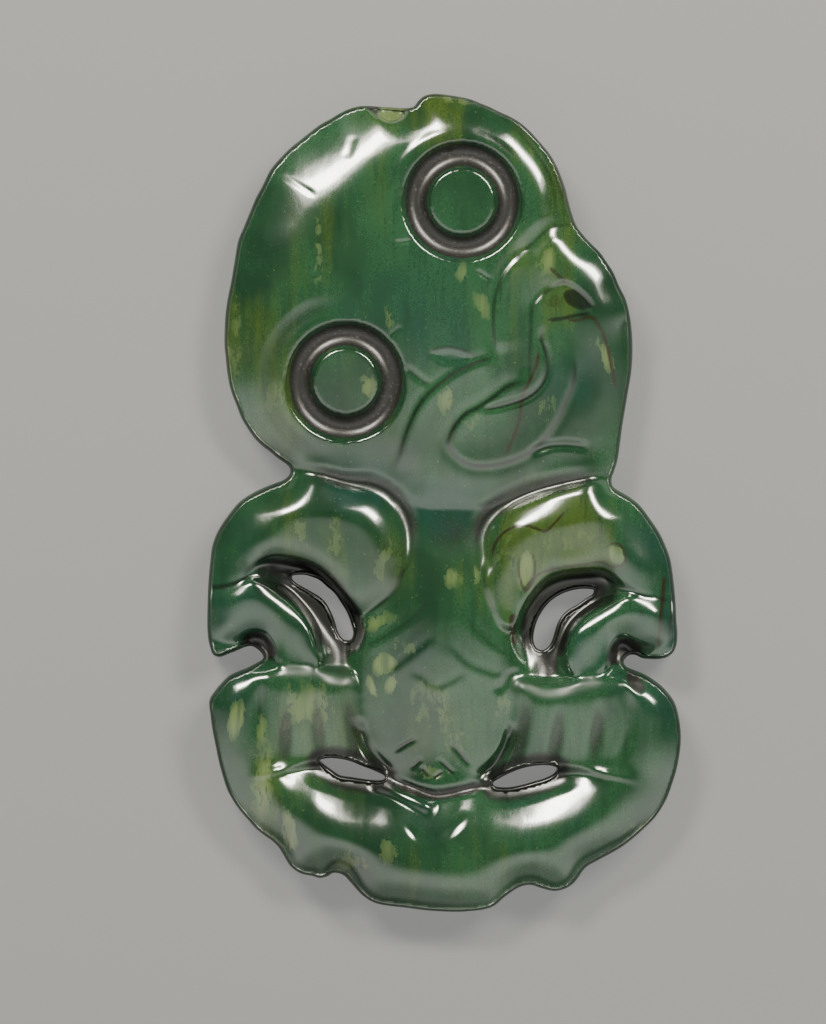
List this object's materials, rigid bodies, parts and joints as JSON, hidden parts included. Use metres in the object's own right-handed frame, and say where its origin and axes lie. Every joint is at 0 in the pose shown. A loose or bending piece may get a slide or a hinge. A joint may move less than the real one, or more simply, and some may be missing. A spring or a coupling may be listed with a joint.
{
  "type": "hei tiki pendant",
  "caption": "Flat greenstone figure pendant, carved in relief with a leaning head and ringed eyes, worn on a neck cord through the notch at its crown.",
  "frame": {"origin": "middle of the pendant's flat back, on the surface that it lies on", "axes": "+X across the figure to the viewer's right, +Y from the feet to the crown, +Z out of the carved face"},
  "size_m": [0.081, 0.14, 0.0116],
  "materials": {
    "greenstone": "polished deep green nephrite, paler and yellower in streaks, satin in the carved grooves"
  },
  "bodies": {
    "root": {"pendant": "greenstone"}
  },
  "joints": []
}
